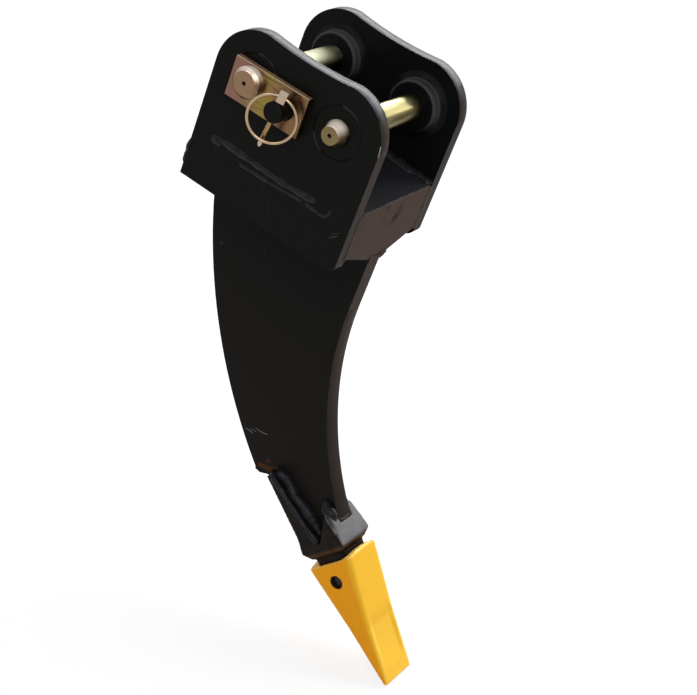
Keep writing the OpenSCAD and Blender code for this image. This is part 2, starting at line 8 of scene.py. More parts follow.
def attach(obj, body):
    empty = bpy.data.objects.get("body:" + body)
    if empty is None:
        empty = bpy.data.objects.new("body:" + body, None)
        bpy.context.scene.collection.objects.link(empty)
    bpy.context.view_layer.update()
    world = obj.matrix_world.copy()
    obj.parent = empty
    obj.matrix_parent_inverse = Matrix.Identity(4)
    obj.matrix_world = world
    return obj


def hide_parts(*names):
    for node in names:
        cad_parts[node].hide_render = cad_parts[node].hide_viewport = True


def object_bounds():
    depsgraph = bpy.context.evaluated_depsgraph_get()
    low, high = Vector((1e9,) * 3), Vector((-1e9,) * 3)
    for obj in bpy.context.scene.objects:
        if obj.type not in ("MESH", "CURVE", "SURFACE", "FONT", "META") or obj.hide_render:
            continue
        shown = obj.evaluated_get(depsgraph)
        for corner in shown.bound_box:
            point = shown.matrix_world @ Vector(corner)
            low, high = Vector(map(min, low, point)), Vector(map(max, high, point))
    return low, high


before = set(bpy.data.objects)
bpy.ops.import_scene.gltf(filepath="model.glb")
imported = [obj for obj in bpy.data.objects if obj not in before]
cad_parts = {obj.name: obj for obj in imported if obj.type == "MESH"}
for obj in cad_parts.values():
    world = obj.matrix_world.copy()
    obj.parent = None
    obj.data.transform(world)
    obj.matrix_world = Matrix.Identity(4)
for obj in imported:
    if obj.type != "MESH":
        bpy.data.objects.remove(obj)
cad_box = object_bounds()

# Ears
# Two 16 mm steel plates, flame cut, with the pin bosses let through them. They are painted satin
# black together with the rest of the weldment, and the paint is knocked off in places on the edges.
mm = 0.001
ear_face, ear_inside, shank_face = 90, 74, 12.5
pin_axes = ((0, 0, 0), (-112, 0, 0))


class Socket:
    """A socket of a material's nodes. Sums and products of it add Math nodes."""

    def __init__(self, tree, socket):
        self.tree = tree
        self.socket = socket

    def node(self, kind, settings, inputs, output=0):
        """A new node: its settings are set first, then its inputs are set or linked."""
        made = self.tree.nodes.new(kind)
        for name, value in settings.items():
            if name == "stops":
                ramp = made.color_ramp.elements
                while len(ramp) < len(value):
                    ramp.new(0.5)
                for stop, (place, colour) in zip(ramp, value):
                    stop.position = place
                    stop.color = colour
            else:
                setattr(made, name, value)
        for name, value in inputs.items():
            if isinstance(value, Socket):
                self.tree.links.new(value.socket, made.inputs[name])
            else:
                made.inputs[name].default_value = value
        return Socket(self.tree, made.outputs[output])

    def math(self, operation, first, second=0.0):
        return self.node("ShaderNodeMath", {"operation": operation}, {0: first, 1: second})

    def __add__(self, other):
        return self.math("ADD", self, other)

    def __sub__(self, other):
        return self.math("SUBTRACT", self, other)

    def __rsub__(self, other):
        return self.math("SUBTRACT", other, self)

    def __mul__(self, other):
        return self.math("MULTIPLY", self, other)

    def __abs__(self):
        return self.math("ABSOLUTE", self)

    def most(self, other):
        return self.math("MAXIMUM", self, other)

    def rise(self, low, high):
        """0 below low, 1 above high and a smooth step between. With low above high it falls."""
        return self.node("ShaderNodeMapRange", {"interpolation_type": "SMOOTHSTEP"},
                         {"Value": self, "From Min": low, "From Max": high})

    def mix(self, first, second):
        """A colour that goes from the first to the second as this value goes from 0 to 1."""
        return self.node("ShaderNodeMix", {"data_type": "RGBA"}, {0: self, 6: first, 7: second}, 2)

    def grain(self, scale, detail=3.0, roughness=0.55):
        """Noise over a place, with about scale grains to the metre."""
        return self.node("ShaderNodeTexNoise", {},
                         {"Vector": self, "Scale": scale, "Detail": detail, "Roughness": roughness})

    def axis(self, name):
        return self.node("ShaderNodeSeparateXYZ", {}, {0: self}, name)

    def stretched(self, *scale):
        return self.node("ShaderNodeVectorMath", {"operation": "MULTIPLY"}, {0: self, 1: scale})

    def along(self, direction):
        """How far this vector reaches along a direction."""
        return self.node("ShaderNodeVectorMath", {"operation": "DOT_PRODUCT"}, {0: self, 1: direction}, "Value")

    def near(self, point, reach):
        """1 at a point of the part, given in millimetres, and 0 from reach millimetres away."""
        away = self.node("ShaderNodeVectorMath", {"operation": "DISTANCE"},
                         {0: self, 1: [v * mm for v in point]}, "Value")
        return away.rise(reach * mm, 0)

    def streak(self, start, end, width):
        """1 along a line between two points in millimetres, and 0 from width millimetres away."""
        run = (Vector(end) - Vector(start)) * mm
        past = self.node("ShaderNodeVectorMath", {"operation": "SUBTRACT"}, {0: self, 1: Vector(start) * mm})
        share = self.node("ShaderNodeMath", {"operation": "DIVIDE", "use_clamp": True},
                          {0: past.along(run), 1: run.length_squared})
        foot = share.node("ShaderNodeVectorMath", {"operation": "SCALE"}, {0: run, "Scale": share})
        away = foot.node("ShaderNodeVectorMath", {"operation": "DISTANCE"}, {0: past, 1: foot}, "Value")
        return away.rise(width * mm, 0)

    def streaks(self, *lines):
        """The most of several streaks, each given by its start, end and width."""
        most = self.streak(*lines[0])
        for line in lines[1:]:
            most = most.most(self.streak(*line))
        return most

    def near_pins(self, reach):
        """1 on the axes of both pins, and 0 from reach millimetres away."""
        flat = self.stretched(1, 0, 1)
        return flat.near(pin_axes[0], reach).most(flat.near(pin_axes[1], reach))

    def bump(self, height):
        """A normal that follows this value as a height, in metres from 0 to 1."""
        return self.node("ShaderNodeBump", {}, {"Height": self, "Distance": height})


def finish_of(name, constants):
    """A new finish with constants on its shader. Gives the material and its place on the part."""
    material = bpy.data.materials.new(name)
    material.use_nodes = True
    tree = material.node_tree
    for socket, value in constants.items():
        tree.nodes["Principled BSDF"].inputs[socket].default_value = value
    place = Socket(tree, None).node("ShaderNodeTexCoord", {}, {}, "Object")
    return material, place


def feed(material, **links):
    """Links what varies over a finish to its shader, such as Base_Color."""
    shader = material.node_tree.nodes["Principled BSDF"]
    for name, value in links.items():
        material.node_tree.links.new(value.socket, shader.inputs[name.replace("_", " ")])


def facing(place):
    """The way that the surface faces, in the part's frame."""
    return place.node("ShaderNodeNewGeometry", {}, {}, "Normal")


black_paint, place = finish_of("black_paint", {"Specular IOR Level": 0.05})
way = facing(place)
along_x, across, height = place.axis("X"), abs(place.axis("Y")), place.axis("Z")
grit = place.grain(420)
near_ear, near_shank = -ear_face, -shank_face
lower = height.rise(-140 * mm, -480 * mm)
tone = place.grain(60, 5).mix((0.0034, 0.0034, 0.0030, 1), (0.0052, 0.0052, 0.0047, 1))
tone = lower.mix(tone, (0.0076, 0.0060, 0.0049, 1))

# Painted light on the black paint: a bluish painted fill inside the ears, where they shade each other,
# painted highlights on the bosses' rims and the ears' tops, and a painted reflection on the deck.
inner_painted_fill = across.rise(77 * mm, 74.5 * mm) * height.rise(-72 * mm, -40 * mm)
tone = inner_painted_fill.mix(tone, (0.0040, 0.0043, 0.0046, 1))
# A painted highlight on the upper arc of each boss's rim inside the ears.
boss_rim_painted_highlight = place.near_pins(60)
boss_rim_painted_highlight = boss_rim_painted_highlight.rise(0.45, 0.50) * boss_rim_painted_highlight.rise(0.58, 0.53) * height.rise(-22 * mm, 12 * mm) * inner_painted_fill.rise(0.2, 0.6)
tone = boss_rim_painted_highlight.mix(tone, (0.045, 0.045, 0.047, 1))
# A painted bluish reflection on the deck's up-facing top, brighter towards the front.
deck_painted_reflection = way.axis("Z").rise(0.7, 1.0) * along_x.rise(-70 * mm, 45 * mm)
tone = (deck_painted_reflection * (place.grain(35, 4) * 0.5 + 0.6)).mix(tone, (0.022, 0.0225, 0.026, 1))
# A painted highlight on the up-facing tops of the ears.
top_painted_highlight = way.axis("Z").rise(0.35, 0.95) * height.rise(39 * mm, 47 * mm)
tone = (top_painted_highlight * (place.grain(40, 3) * 0.4 + 0.6)).mix(tone, (0.086, 0.088, 0.096, 1))

# Brown dust on what faces forward, thinner on the ears' edges and down the shank.
forward = way.axis("X").rise(0.25, 0.85)
dust = forward * (place.grain(90, 4) * 0.4 + 0.65) * (1 - lower * 0.55)
dust = dust * (1 - across.rise(73 * mm, 75 * mm) * 0.6) * (1 - height.rise(-150 * mm, -165 * mm) * 0.45)
dust = dust * along_x.rise(38 * mm, 42 * mm).most(height.rise(-70 * mm, -80 * mm))
tone = dust.mix(tone, (0.058, 0.038, 0.030, 1))

# Marks on the near ear and the shank: smears, specks, scratches, chips to the metal, and rust.
smears = place.streaks(((-65, near_ear, -95), (-60, near_ear, -107), 4),
                       ((-47, near_ear, -115), (-43, near_ear, -128), 4),
                       ((53, near_ear, -126), (51, near_ear, -143), 3))
tone = ((smears + grit - 1).rise(0, 0.6)).mix(tone, (0.0075, 0.0075, 0.008, 1))
specks = place.streaks(((34.4, near_ear, -108.6), (42, near_ear, -102.5), 1.6),
                       ((36, near_ear, -103), (43, near_ear, -98), 1.2))
specks = specks.most(place.near((-129.5, near_shank, -242), 3)).most(place.near((-72.7, near_shank, -218), 2.6))
tone = ((specks + grit - 1).rise(0, 0.4) * 0.6).mix(tone, (0.05, 0.049, 0.046, 1))
scratches = place.streaks(((-14, near_shank, -443), (-3, near_shank, -443), 1.2),
                          ((-8, near_shank, -440), (0, near_shank, -438), 0.9),
                          ((-2, near_shank, -434), (7, near_shank, -434), 1.1),
                          ((7, near_shank, -434), (15, near_shank, -432), 1.4))
tone = ((scratches + grit - 1).rise(0.05, 0.35) * 0.7).mix(tone, (0.15, 0.147, 0.135, 1))
chips = place.streaks(((-17, -89.6, 52), (-6, -89.6, 53), 2.6), ((51.6, -89.8, 13), (53, -89.8, 2), 1.7))
chips = (chips + grit - 1).rise(0.12, 0.24)
tone = chips.mix(tone, (0.24, 0.23, 0.225, 1))
rust = place.streak((21, near_shank, -477), (46, near_shank, -468), 10)
rust = rust.most(place.near((29, near_shank, -463), 11) * 0.8).most(place.near((24, shank_face, -472), 17))
rust = (rust + place.grain(210, 6, 0.7) * 1.6 - 1.35).rise(0, 0.4)
tone = (rust * 0.85).mix(tone, (0.055, 0.021, 0.004, 1))
feed(black_paint, Base_Color=tone,
     Roughness=place.grain(90) * 0.12 + rust * 0.3 + dust * 0.4 + lower * forward * 0.25 + 0.3,
     Normal=(place.grain(700, 2) + chips * -0.6).bump(0.1 * mm))


def dress(node_name, material, edge=0.0):
    """Gives a CAD node its finish, and rounds its edges by a bevel of edge millimetres."""
    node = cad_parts[node_name]
    node.material_slots[0].material = material
    if edge:
        node.modifiers.new("joined", "WELD").merge_threshold = 0.01 * mm
        bevel = node.modifiers.new("edges", "BEVEL")
        bevel.width = edge * mm
        bevel.segments = 2
        bevel.limit_method = "ANGLE"
        bevel.angle_limit = math.radians(35)
        bevel.harden_normals = True
    return node


for ear in ("right_ear", "left_ear"):
    dress(ear, black_paint, edge=1.2)

# Bosses
# Thick steel rings let through the ears round the pins, flush outside and standing in. They are
# welded all round inside and in a groove outside, and painted with the ears.
boss_r = 30
boss_places = [(axis[0], side) for axis in pin_axes for side in (-1, 1)]
for boss in ("right_link_boss", "right_arm_boss", "left_link_boss", "left_arm_boss"):
    dress(boss, black_paint)


def run_along(path, step, ring):
    """Even steps along a path in millimetres: each a point, its direction and the run so far."""
    corners = [Vector(point) for point in path]
    if ring:
        corners.append(corners[0])
    points, spots, run = [], [], 0.0
    for start, end in zip(corners, corners[1:]):
        count = max(1, round((end - start).length / step))
        points += [start.lerp(end, k / count) for k in range(count)]
    if not ring:
        points.append(corners[-1])
        for _ in range(8):
            points[1:-1] = [(a + 2 * b + c) / 4 for a, b, c in zip(points, points[1:], points[2:])]
    for k, point in enumerate(points):
        last = points[k - 1] if ring or k else point
        ahead = points[(k + 1) % len(points)] if ring or k + 1 < len(points) else point
        spots.append((point, (ahead - last).normalized(), run))
        run += (ahead - point).length
    return spots, run


def lay_bead(mesh, path, up, wide, high, side=None, arc=(-20, 200), hollow=1.0, pitch=3.0,
             ripple=0.1, uneven=0.15, lump=9.0, seed=0.0, ring=False):
    """Lays a weld bead in a mesh along a path in millimetres. It rises along up and spreads along
    side, a direction or a function of the place, over an arc in degrees that starts at side."""
    spots, total = run_along(path, pitch / 5, ring)
    lift, round_spots, root = Vector(up), 10, 0.6
    rows = []
    for point, way, run in spots:
        if side is None:
            across = way.cross(lift).normalized()
        else:
            across = side(point) if callable(side) else Vector(side)
        edge = 1.0 if ring else min(1.0, (min(run, total - run) + 0.15 * wide) / wide)
        size = math.sqrt(max(0.02, 1 - (1 - edge) ** 2))
        swell = 1 + uneven * noise.noise(Vector((run / lump, seed, 0.5)))
        stretch = 1 + uneven * noise.noise(Vector((run / lump / 1.2, seed, 7.5)))
        row = []
        for k in range(round_spots):
            turn = math.radians(arc[0] + (arc[1] - arc[0]) * k / (round_spots - 1))
            beat = (run / pitch + 0.35 * math.sin(turn) + 0.4 * noise.noise(Vector((run / 6, seed, 3)))) % 1
            wave = 1 + ripple * (0.5 - (2 * beat - 1) ** 2)
            c, s = math.cos(turn), math.sin(turn)
            c, s = math.copysign(abs(c) ** hollow, c), math.copysign(abs(s) ** hollow, s)
            spot = point + across * (wide * size * stretch * wave * c) + lift * (high * size * swell * wave * s)
            row.append(mesh.verts.new(spot * mm))
        below = lift + across if arc[1] < 150 else lift
        row.append(mesh.verts.new((point - root * below) * mm))
        rows.append(row)
    for k in range(len(rows) - (0 if ring else 1)):
        here, there = rows[k], rows[(k + 1) % len(rows)]
        for j in range(len(here)):
            i = (j + 1) % len(here)
            mesh.faces.new((here[j], here[i], there[i], there[j]))
    if not ring:
        mesh.faces.new(rows[0])
        mesh.faces.new(reversed(rows[-1]))


def add_piece(name, mesh, material, slot, *replaced, body="ripper"):
    """Makes a smooth object of a mesh on a body, in place of the CAD nodes that are named."""
    bmesh.ops.recalc_face_normals(mesh, faces=mesh.faces)
    for face in mesh.faces:
        face.smooth = True
    data = bpy.data.meshes.new(name)
    mesh.to_mesh(data)
    mesh.free()
    data.materials.append(material)
    piece = bpy.data.objects.new(name, data)
    bpy.context.scene.collection.objects.link(piece)
    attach(piece, body)
    if replaced:
        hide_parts(*replaced)


def boss_circle(x, y, radius, start=0, end=360):
    """Points round a pin's axis, from a start to an end angle in degrees."""
    count = round((end - start) / 5)
    points = count if end - start == 360 else count + 1
    turns = [math.radians(start + (end - start) * k / count) for k in range(points)]
    return [(x + radius * math.cos(turn), y, radius * math.sin(turn)) for turn in turns]


fillets = bmesh.new()
for number, (x, side) in enumerate(boss_places):
    lay_bead(fillets, boss_circle(x, side * ear_inside, boss_r), (0, -side, 0), wide=8, high=6,
             side=lambda spot, x=x: Vector((spot.x - x, 0, spot.z)).normalized(),
             arc=(-6, 96), hollow=2.6, pitch=3.4, ripple=0.015, uneven=0.06, seed=number, ring=True)
add_piece("boss_fillets", fillets, black_paint, "black_paint", "boss_welds")

painted_weld, place = finish_of("painted_weld", {"Specular IOR Level": 0.12})
# The welds vary at random from dark to a lighter blue-grey; the blue-grey is a painted sheen.
tone = place.grain(110, 4).rise(0.3, 0.7).mix((0.0035, 0.0035, 0.0036, 1), (0.0135, 0.0142, 0.0185, 1))
feed(painted_weld, Base_Color=tone, Roughness=place.grain(200) * 0.14 + 0.24,
     Normal=place.grain(900, 2).bump(0.1 * mm))

rings, arcs = bmesh.new(), bmesh.new()
for number, (x, side) in enumerate(boss_places):
    lay_bead(rings, boss_circle(x, side * (ear_face - 2.2), boss_r - 0.8), (0, side, 0), wide=1.5, high=1.4,
             ripple=0.08, uneven=0.4, pitch=2.6, seed=10 + number, ring=True)
    for start, end in ((52, 100), (205, 248)):
        lay_bead(arcs, boss_circle(x, side * (ear_face - 0.7), boss_r - 0.6, start, end),
                 (0, side, 0), wide=1.9, high=1.1, ripple=0.12, uneven=0.6, pitch=3.2, seed=14 + number + start)
add_piece("boss_ring_beads", rings, black_paint, "black_paint")
add_piece("boss_ring_stops", arcs, painted_weld, "painted_weld")

# Deck plate
# A thick cut plate between the ears, painted with them. It is welded along both sides with a
# hand-laid fillet that rises a little up the ears.
dress("deck_plate", black_paint, edge=1.0)
deck_top, deck_under = -74, -94
rear_x, front_x = -165, 53

fillets = bmesh.new()
for side in (-1, 1):
    lay_bead(fillets, [(rear_x + 1, side * ear_inside, deck_top), (front_x - 1, side * ear_inside, deck_top)],
             (0, 0, 1), wide=7.5, high=6.5, side=(0, -side, 0), arc=(-6, 96), hollow=1.4, pitch=4.2,
             ripple=0.07, uneven=0.3, seed=20 + side)
add_piece("deck_fillets", fillets, painted_weld, "painted_weld", "deck_welds")

# End plates
# Plates that close the box in front and behind. Their beveled sides are welded to the ears, and a
# notch at the top of each is filled to hold the deck and the shank, with a crater where the arc stopped.
for plate in ("front_plate", "rear_plate"):
    dress(plate, black_paint, edge=1.0)
dress("seam_welds", black_paint)
dress("notch_welds", black_paint)
ends = ((front_x, 1), (rear_x, -1))
plate_thick = 12
notch_half, notch_low, notch_round = 19, -106, 14

seams = bmesh.new()
for side in (-1, 1):
    for end, out_x in ends:
        seam_x, seam_y = end - out_x * 0.4, side * 73.6
        lay_bead(seams, [(seam_x, seam_y, -76), (seam_x, seam_y, -133)], (out_x, 0, 0), wide=4.4, high=0.9,
                 pitch=3.6, ripple=0.1, uneven=0.3, seed=45 + side + out_x)
strip_wide, strip_high = 2.2, 0.95
strip_z = deck_top - strip_high
flat_strip = {"arc": (0, 180), "hollow": 0.4, "pitch": 4, "ripple": 0.01, "uneven": 0.02}
for end, out_x in ends:
    joint_x = end - out_x * plate_thick
    for start_y, end_y in ((-66, -notch_half), (-notch_half, notch_half), (notch_half, 66)):
        lay_bead(seams, [(joint_x, start_y, strip_z), (joint_x, end_y, strip_z)],
                 (0, 0, 1), wide=strip_wide, high=strip_high, seed=47, **flat_strip)
    for notch_side in (-notch_half, notch_half):
        lay_bead(seams, [(joint_x + out_x, notch_side, strip_z), (end - out_x * 1.2, notch_side, strip_z)],
                 (0, 0, 1), wide=strip_wide, high=strip_high, seed=48, **flat_strip)
add_piece("seam_beads", seams, black_paint, "black_paint")


def in_notch(y, z, margin=1):
    """Whether a place on an end plate lies in its notch or within a margin of its round edge."""
    over_y = max(0, abs(y) - (notch_half - notch_round))
    over_z = max(0, notch_low + notch_round - z)
    return abs(y) <= notch_half + margin and math.hypot(over_y, over_z) <= notch_round + margin


def crater(y, z):
    """Depth of the hollows where the arc stopped: a pit, a spot by the edge and a hook at the side."""
    pit = 2.2 * math.exp(-((y - 10) / 5) ** 2 - ((z + 100) / 3.5) ** 2)
    spot = 1.6 * math.exp(-((y + 16) / 2) ** 2 - ((z + 80) / 2) ** 2)
    hook = 1.3 * math.exp(-((y - 13 - 0.3 * min(0, z + 90)) / 1.7) ** 2)
    return pit + spot + hook / (1 + math.exp((z + 84) / 1.2))


fill_rows, fill_columns, fill_deep = 33, 41, 3.5


def fill_place(row, column):
    """The place on an end plate of a corner of the fill's 1 mm grid."""
    return column - fill_columns // 2, deck_top - 0.6 - row


squares = [[(row, column), (row, column + 1), (row + 1, column + 1), (row + 1, column)]
           for row in range(fill_rows - 1) for column in range(fill_columns - 1)]
squares = [square for square in squares if all(in_notch(*fill_place(*corner)) for corner in square)]
sides = [pair for square in squares for pair in zip(square, square[1:] + square[:1])]
shared = set(sides)
painted_rim_highlight = [(here, there) for here, there in sides if (there, here) not in shared]
fill = bmesh.new()
for end, out_x in ends:
    back, skin = {}, {}
    for corner in dict.fromkeys(corner for square in squares for corner in square):
        back[corner] = fill.verts.new(Vector((end - out_x * fill_deep, *fill_place(*corner))) * mm)
        skin[corner] = vert = fill.verts.new(back[corner].co)
        y, z = vert.co.y / mm, vert.co.z / mm
        ripples = math.sin(z / 0.55 + y / 6 + 2 * noise.noise(Vector((y / 8, z / 8, out_x))))
        lumps = noise.noise(Vector((y / 6, z / 6, 3 * out_x)))
        level = -0.35 + 0.105 * ripples + 0.5 * lumps - crater(y, z)
        vert.co.x = (end + out_x * level) * mm
    for square in squares:
        for layer in (back, skin):
            fill.faces.new([layer[corner] for corner in square])
    for here, there in painted_rim_highlight:
        fill.faces.new((back[here], back[there], skin[there], skin[here]))
add_piece("notch_fill", fill, black_paint, "black_paint")

# Slot welds
# The deck's edges show in a slot in each ear and are welded there. The beads are laid over the
# slot by hand, wander a little and end in a hook, and a pad of weld closes the ear's rear edge.
dress("slot_welds", painted_weld)

fill = bmesh.new()
for side in (-1, 1):
    sunk = side * (ear_face - 0.7)
    lay_bead(fill, [(-137, sunk, -89), (17, sunk, -89)], (0, side, 0), wide=5.6, high=0.9, arc=(0, 180),
             hollow=0.5, pitch=5, ripple=0.02, uneven=0.2, seed=50 + side)
add_piece("slot_fill", fill, black_paint, "black_paint")

beads = bmesh.new()
for side in (-1, 1):
    face = side * (ear_face - 0.4)
    out = (0, side, 0)
    lay_bead(beads, [(-139, face, -85), (-130, face, -83.4), (-121, face, -83), (-83, face, -84),
                     (-43, face, -85), (-12, face, -83.4), (4, face, -81.8)],
             out, wide=4.2, high=1.5, arc=(0, 180), hollow=1.6, pitch=4.2, ripple=0.08, uneven=0.5, seed=30 + side)
    lay_bead(beads, [(-140, face, -86.5), (-132, face, -85.5), (-126, face, -84.5)],
             out, wide=5, high=2.1, arc=(0, 180), hollow=1.4, pitch=3.8, ripple=0.1, uneven=0.4, seed=33 + side)
    lay_bead(beads, [(-97, face, -94.6), (-54, face, -93.2), (-12, face, -90.8)],
             out, wide=2.4, high=0.9, arc=(0, 180), hollow=1.6, pitch=3.4, ripple=0.1, uneven=0.6, seed=36 + side)
    lay_bead(beads, [(-6, face, -90.8), (4, face, -91), (14, face, -92), (20, face, -91.4),
                     (23.5, face, -87), (25, face, -80.5)],
             out, wide=2.4, high=1.2, arc=(0, 180), hollow=1.5, pitch=3.4, ripple=0.1, uneven=0.6, seed=39 + side)
    lay_bead(beads, [(rear_x + 1, side * 83, -98), (rear_x + 0.5, side * 83, -112),
                     (rear_x + 0.5, side * 83.5, -134)],
             (-1, 0, 0), wide=8.2, high=5, pitch=6, ripple=0.1, uneven=0.5, lump=12, seed=42 + side)
add_piece("slot_beads", beads, painted_weld, "painted_weld")

# Shank
# One thick plate, flame cut to a curve, let up into the box and welded to the deck and the end
# plates. Its heel is left rough from the torch.
dress("shank", black_paint, edge=1.2)

fillets = bmesh.new()
root_weld = {"arc": (-6, 96), "hollow": 1.2, "pitch": 3.6, "ripple": 0.1, "uneven": 0.25}
for side in (-1, 1):
    face = side * shank_face
    lay_bead(fillets, [(-152, face, deck_under), (40, face, deck_under)], (0, 0, -1), wide=7, high=7,
             side=(0, side, 0), seed=60 + side, **root_weld)
    for end, out_x in ends:
        joint_x = end - out_x * plate_thick
        lay_bead(fillets, [(joint_x, face, -97), (joint_x, face, -149)], (0, side, 0), wide=6, high=6,
                 side=(-out_x, 0, 0), seed=63 + side + 2 * out_x, **root_weld)
add_piece("shank_fillets", fillets, painted_weld, "painted_weld")

stops = bmesh.new()
for end, out_x in ends:
    lay_bead(stops, [(end, -14, -150), (end, 2, -151), (end, 12, -149.5), (end, 20, -146.5)],
             (out_x, 0, 0), wide=3.2, high=2.2, pitch=4, ripple=0.2, uneven=0.6, seed=68 + out_x)
add_piece("end_plate_stops", stops, black_paint, "black_paint")

slag = bmesh.new()
for side in (-1, 1):
    edge_y = side * 11.4
    lay_bead(slag, [(16.5, edge_y, -482), (21, edge_y, -484), (30, edge_y, -481.4), (41, edge_y, -478),
                    (51, edge_y, -474.8)],
             (0, side, 0), wide=1.8, high=1.8, pitch=6, ripple=0.5, uneven=0.9, seed=72 + side)
add_piece("heel_slag", slag, black_paint, "black_paint")

# Adapter
# A steel casting with two fish-tailed cheeks over the shank's end and a nose inside the tooth. It
# is painted dark, scuffed to grey metal on its front face and rusty at the neck.
mouth_x, mouth_z, tooth_turn = 161, -523, math.radians(38)
cos_tooth, sin_tooth = math.cos(tooth_turn), math.sin(tooth_turn)


def at_tooth(s, y, h):
    """A point given along and square to the tooth, from the middle of its mouth."""
    return mouth_x + s * cos_tooth + h * sin_tooth, y, mouth_z - s * sin_tooth + h * cos_tooth


def tooth_way(s, h):
    """A direction given along and square to the tooth."""
    return Vector((s * cos_tooth + h * sin_tooth, 0, h * cos_tooth - s * sin_tooth))


def along_tooth(place, s, h):
    """How far a place lies along a direction of the tooth's frame, in metres."""
    mouth = Vector(at_tooth(0, 0, 0)) * mm
    return place.node("ShaderNodeVectorMath", {"operation": "SUBTRACT"}, {0: place, 1: mouth}).along(tooth_way(s, h))


painted_casting, place = finish_of("painted_casting", {"Specular IOR Level": 0.08})
pits = place.grain(500, 4)
tone = place.grain(90, 5).rise(0.3, 0.7).mix((0.0028, 0.0021, 0.0016, 1), (0.0105, 0.0062, 0.0036, 1))
ahead = facing(place).along(tooth_way(0, 1))
down_tooth = along_tooth(place, 1, 0)
worn = ahead.rise(0.45, 0.9) * (place.grain(70, 5) * 0.8 + 0.45) * down_tooth.rise(-12 * mm, -16 * mm)
worn = worn * along_tooth(place, 0, 1).rise(4 * mm, 18 * mm)
tone = worn.mix(tone, (0.13, 0.129, 0.135, 1))
line = down_tooth.rise(-19 * mm, -16 * mm) * down_tooth.rise(-11 * mm, -13 * mm)
rusty = (line * 0.6 + place.grain(110, 5)).rise(0.72, 1.1) * (1 - worn)
tone = rusty.mix(tone, (0.050, 0.021, 0.007, 1))
feed(painted_casting, Base_Color=tone, Roughness=pits * 0.15 + 0.32 + rusty * 0.25, Normal=pits.bump(0.35 * mm))


def as_cast(node_name, material, grain, rounds):
    """Gives a CAD node its finish and the round edges of a casting, on a skin of grain millimetres."""
    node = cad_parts[node_name]
    node.material_slots[0].material = material
    node.modifiers.new("joined", "WELD").merge_threshold = 0.01 * mm
    skin = node.modifiers.new("skin", "REMESH")
    skin.mode = "VOXEL"
    skin.voxel_size = grain * mm
    skin.use_smooth_shade = True
    rounding = node.modifiers.new("rounding", "SMOOTH")
    rounding.factor = 0.5
    rounding.iterations = rounds


as_cast("adapter", painted_casting, grain=1.3, rounds=8)

# Fish-tail welds
# Heavy beads along both edges of the fish tail on each face of the shank, drawn over the tips of
# the prongs and along their outer edges, and dressed smooth round the shank's front edge.
beads = bmesh.new()
inner_edge = {"arc": (-8, 98), "hollow": 0.9, "uneven": 0.3, "lump": 20}
for side in (-1, 1):
    y = side * shank_face
    out = (0, side, 0)
    edge_way = Vector((0, side * 0.7, 0)) + tooth_way(-0.16, 0.7)
    low = 3 + 3 * side
    lay_bead(beads, [at_tooth(-125, y, -24.6), at_tooth(-92, y, -17.3), at_tooth(-60, y, -10),
                     at_tooth(-30, y, -3.2)],
             out, wide=9, high=10, side=tooth_way(-0.222, 0.975), pitch=9, ripple=0.06, seed=80 + side,
             **inner_edge)
    lay_bead(beads, [at_tooth(-28, y, 0), at_tooth(-42, y, 12), at_tooth(-56, y, 23), at_tooth(-62, y, 26)],
             out, wide=8, high=10, side=tooth_way(-0.645, -0.764), pitch=11, ripple=0.04, seed=84 + side,
             **inner_edge)
    lay_bead(beads, [at_tooth(-127, side * 16, -25.4), at_tooth(-126, side * 23, -25.2),
                     at_tooth(-121, side * 28.4, -24)],
             edge_way, wide=4, high=3.4, pitch=9, ripple=0.05, uneven=0.3, seed=86 + side)
    lay_bead(beads, [at_tooth(-123, side * 28.4, -24), at_tooth(-108, side * 29, -20.8),
                     at_tooth(-84, side * 29.4, -16), at_tooth(-60, side * 29.4, -11),
                     at_tooth(-46, side * 29.2, -7.6), at_tooth(-29, side * 28.6, -3.2)],
             edge_way, wide=3, high=2.4, pitch=9, ripple=0.05, uneven=0.6, lump=14, seed=90 + side)
    lay_bead(beads, [at_tooth(-73, side * 13.5, 21 - low), at_tooth(-60, side * 15.5, 23 - low),
                     at_tooth(-44, side * 18.5, 25.5 - low)],
             out, wide=10, high=8.5, pitch=9, ripple=0.05, uneven=0.4, lump=12, seed=88 + side)
add_piece("fish_tail_beads", beads, painted_weld, "painted_weld", "adapter_welds")

ridges = bmesh.new()
for side in (-1, 1):
    ridge_way = Vector((0, side * 0.6, 0)) + tooth_way(-0.1, 0.8)
    lay_bead(ridges, [at_tooth(-63, side * 21, 23), at_tooth(-55, side * 24.6, 22.6),
                      at_tooth(-44, side * 26.6, 25.2), at_tooth(-32, side * 28.6, 28.6)],
             ridge_way, wide=4.4, high=1.8, pitch=8, ripple=0.08, uneven=0.7, lump=9, seed=94 + side)
add_piece("prong_edge_beads", ridges, painted_casting, "painted_casting")

apron = bmesh.new()
lay_bead(apron, [at_tooth(-60, -shank_face, 28.6), at_tooth(-45, -shank_face, 29), at_tooth(-42, -9, 29.2),
                 at_tooth(-41.5, 0, 29.2), at_tooth(-42, 9, 29.2), at_tooth(-45, shank_face, 29),
                 at_tooth(-60, shank_face, 28.6)],
         tooth_way(0, 1), wide=5.0, high=1.1, arc=(0, 180), hollow=1.7, pitch=9, ripple=0.03, uneven=0.3, seed=92)
add_piece("front_edge_weld", apron, black_paint, "black_paint")

# Tooth
# A steel casting that slips over the adapter's nose, painted yellow. Its top is painted lighter and its sides
# deeper orange as painted light, with a painted shade at the crease, painted highlights below it and on the
# mouth's rim, and a painted shadow round the bore.
yellow_paint, place = finish_of("yellow_paint", {"Specular IOR Level": 0.1})
top = facing(place).along(tooth_way(0, 1))
